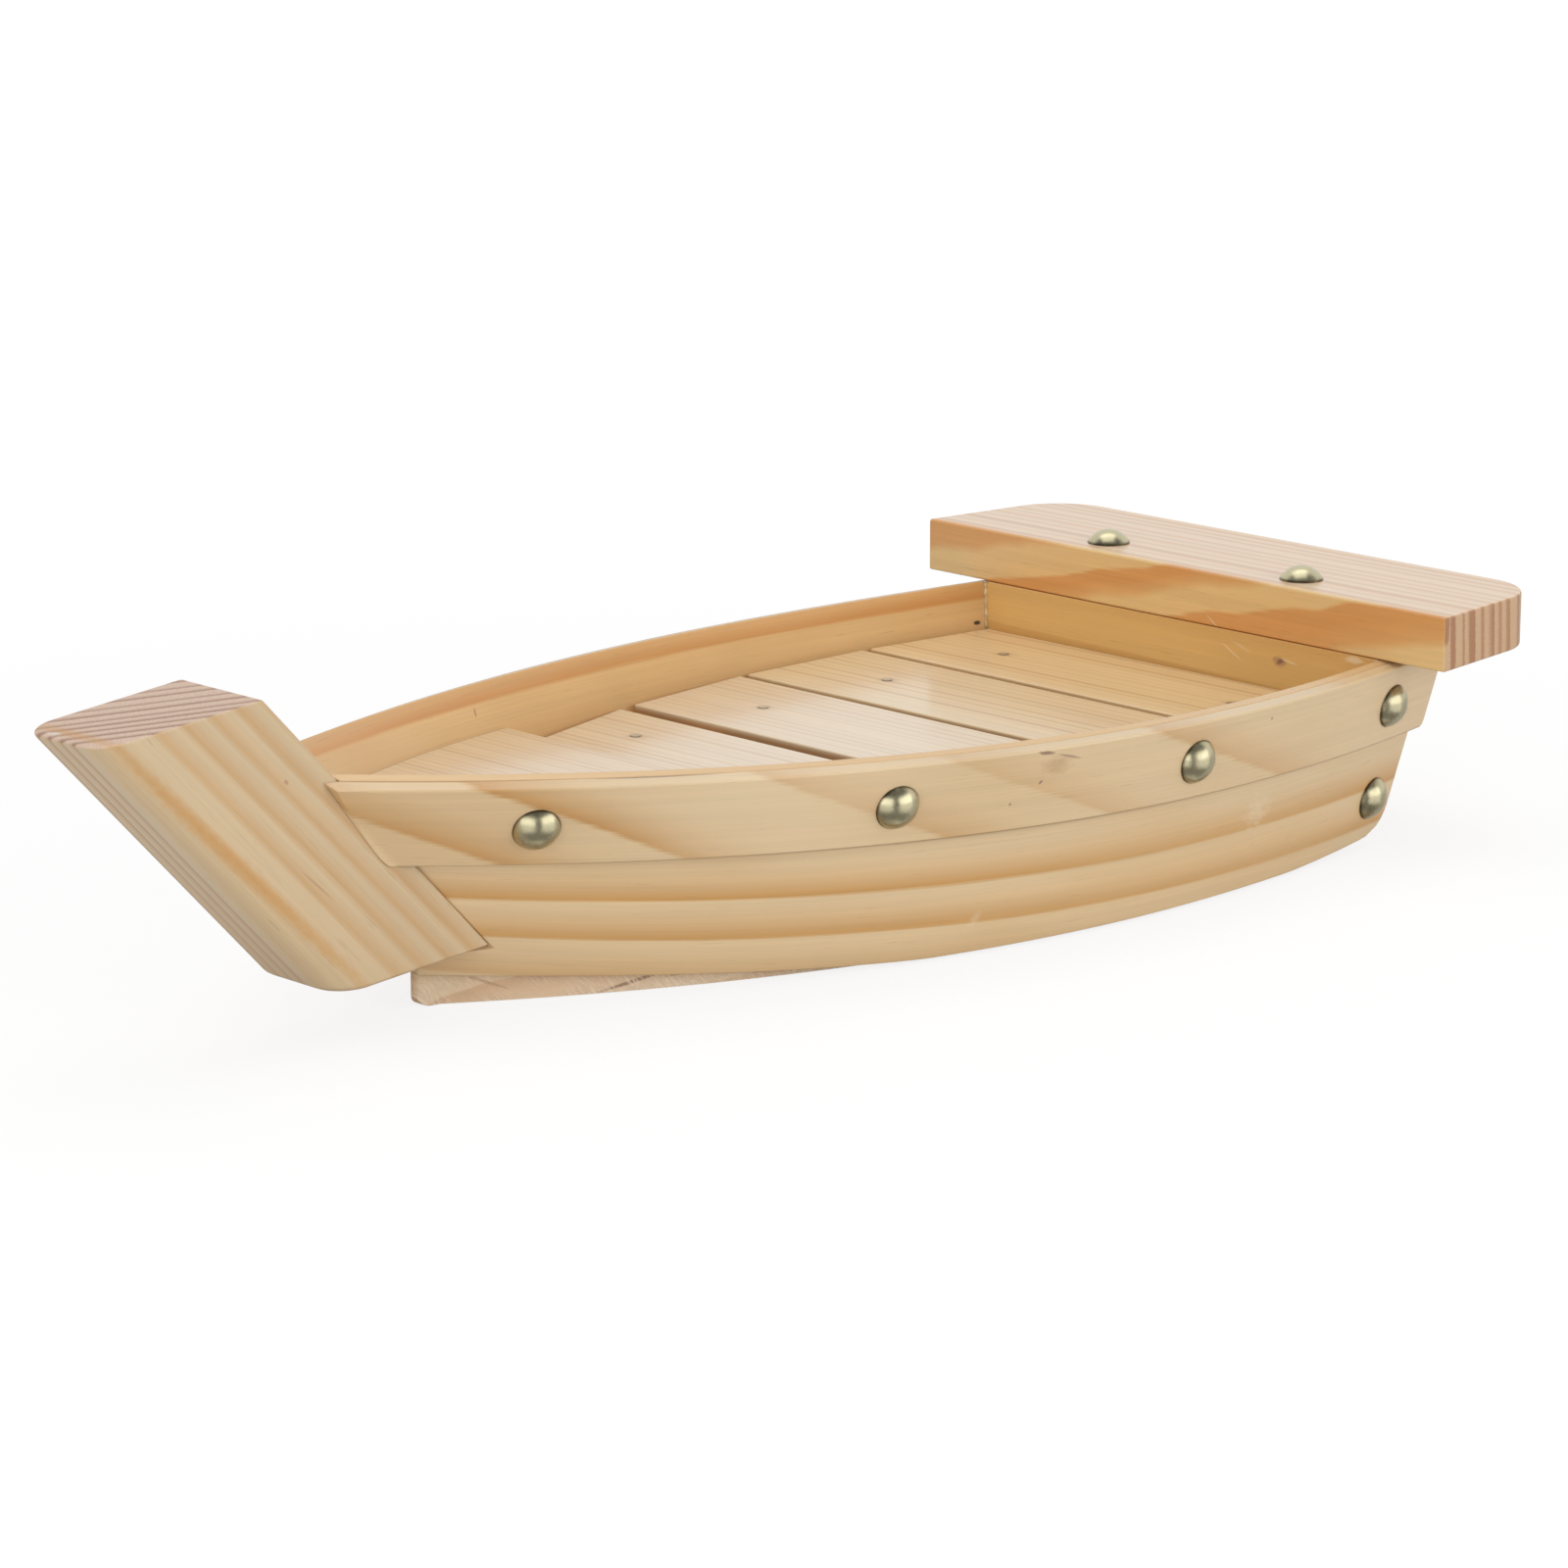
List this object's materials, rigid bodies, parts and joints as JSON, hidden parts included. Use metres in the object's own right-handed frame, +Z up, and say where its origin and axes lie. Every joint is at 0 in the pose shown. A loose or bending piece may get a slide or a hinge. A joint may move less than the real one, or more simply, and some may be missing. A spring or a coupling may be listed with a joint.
{
  "type": "sushi serving boat",
  "caption": "Small pine boat-shaped serving tray with bent side boards, rubbing strakes, a leaning bow post, a slatted floor and an overhanging stern plank, for serving sushi at the table.",
  "frame": {"origin": "on the table, on the boat's centreline, under the middle of its overall length", "axes": "+X to the bow, +Y to port, +Z up; the boat stands on its bottom board at Z = 0"},
  "size_m": [0.4092, 0.18, 0.0839],
  "materials": {
    "pine": "satin varnish",
    "pine_gold": "satin varnish",
    "pine_pale": "satin varnish",
    "pine_sawn": "rough sawn",
    "antique_brass": "antique, polished",
    "steel_pin": "dull"
  },
  "bodies": {
    "root": {"bow_post": "pine", "port_side_board": "pine_gold", "starboard_side_board": "pine_gold", "port_strake": "pine_pale", "starboard_strake": "pine_pale", "bottom_board": "pine_sawn", "floor_bearer_port": "pine_sawn", "floor_bearer_starboard": "pine_sawn", "bow_floor_plank": "pine_pale", "floor_plank_2": "pine_pale", "floor_plank_3": "pine_pale", "floor_plank_4": "pine_pale", "floor_plank_5": "pine_pale", "transom": "pine_gold", "stern_plank": "pine", "port_strake_nails": "antique_brass", "starboard_strake_nails": "antique_brass", "transom_side_nails": "antique_brass", "stern_plank_nails": "antique_brass", "floor_nails": "steel_pin"}
  },
  "joints": []
}
